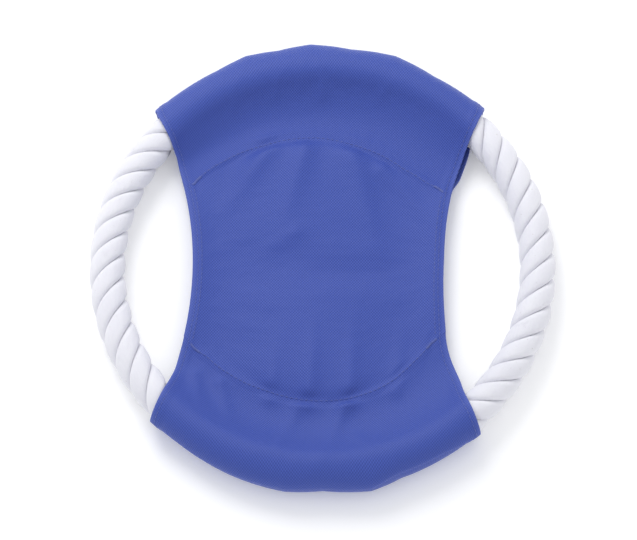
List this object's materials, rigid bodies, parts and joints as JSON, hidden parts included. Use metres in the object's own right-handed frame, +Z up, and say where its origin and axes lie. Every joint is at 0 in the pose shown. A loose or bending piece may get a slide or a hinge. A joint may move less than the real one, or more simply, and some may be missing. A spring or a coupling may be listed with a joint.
{
  "type": "flying ring",
  "caption": "Soft throwing ring: a twisted cotton rope ring that turns in the two end sleeves of a sewn blue cloth cover with hollowed sides.",
  "frame": {"origin": "middle of the ring, on the surface that it lies on", "axes": "+Z up, square to the ring's plane; +Y towards the upper sleeve, which holds the rope's joint; +X to the right-hand bare rope"},
  "size_m": [0.2296, 0.2344, 0.0204],
  "materials": {
    "rope_cotton": "matte twisted cotton yarn",
    "joint_tape": "matte cloth tape",
    "cover_cloth": "woven polyester with a soft sheen",
    "sewing_thread": "polyester sewing thread"
  },
  "bodies": {
    "cover": {"front_panel": "cover_cloth", "back_panel": "cover_cloth", "front_left_hem_needle_thread": "sewing_thread", "front_left_hem_bobbin_thread": "sewing_thread", "front_right_hem_needle_thread": "sewing_thread", "front_right_hem_bobbin_thread": "sewing_thread", "back_left_hem_needle_thread": "sewing_thread", "back_left_hem_bobbin_thread": "sewing_thread", "back_right_hem_needle_thread": "sewing_thread", "back_right_hem_bobbin_thread": "sewing_thread", "upper_channel_needle_thread": "sewing_thread", "upper_channel_bobbin_thread": "sewing_thread", "lower_channel_needle_thread": "sewing_thread", "lower_channel_bobbin_thread": "sewing_thread", "left_waist_needle_thread": "sewing_thread", "left_waist_bobbin_thread": "sewing_thread", "right_waist_needle_thread": "sewing_thread", "right_waist_bobbin_thread": "sewing_thread", "upper_rim_needle_thread": "sewing_thread", "upper_rim_bobbin_thread": "sewing_thread", "lower_rim_needle_thread": "sewing_thread", "lower_rim_bobbin_thread": "sewing_thread", "bar_tacks": "sewing_thread"},
    "rope_ring": {"rope_strand_1": "rope_cotton", "rope_strand_2": "rope_cotton", "rope_strand_3": "rope_cotton", "rope_joint_tape": "joint_tape"}
  },
  "joints": [
    {"name": "rope_turn", "type": "hinge", "parent": "cover", "child": "rope_ring", "pos_m": [0, 0, 0.01], "axis": [0, 0, 1], "continuous": true}
  ]
}
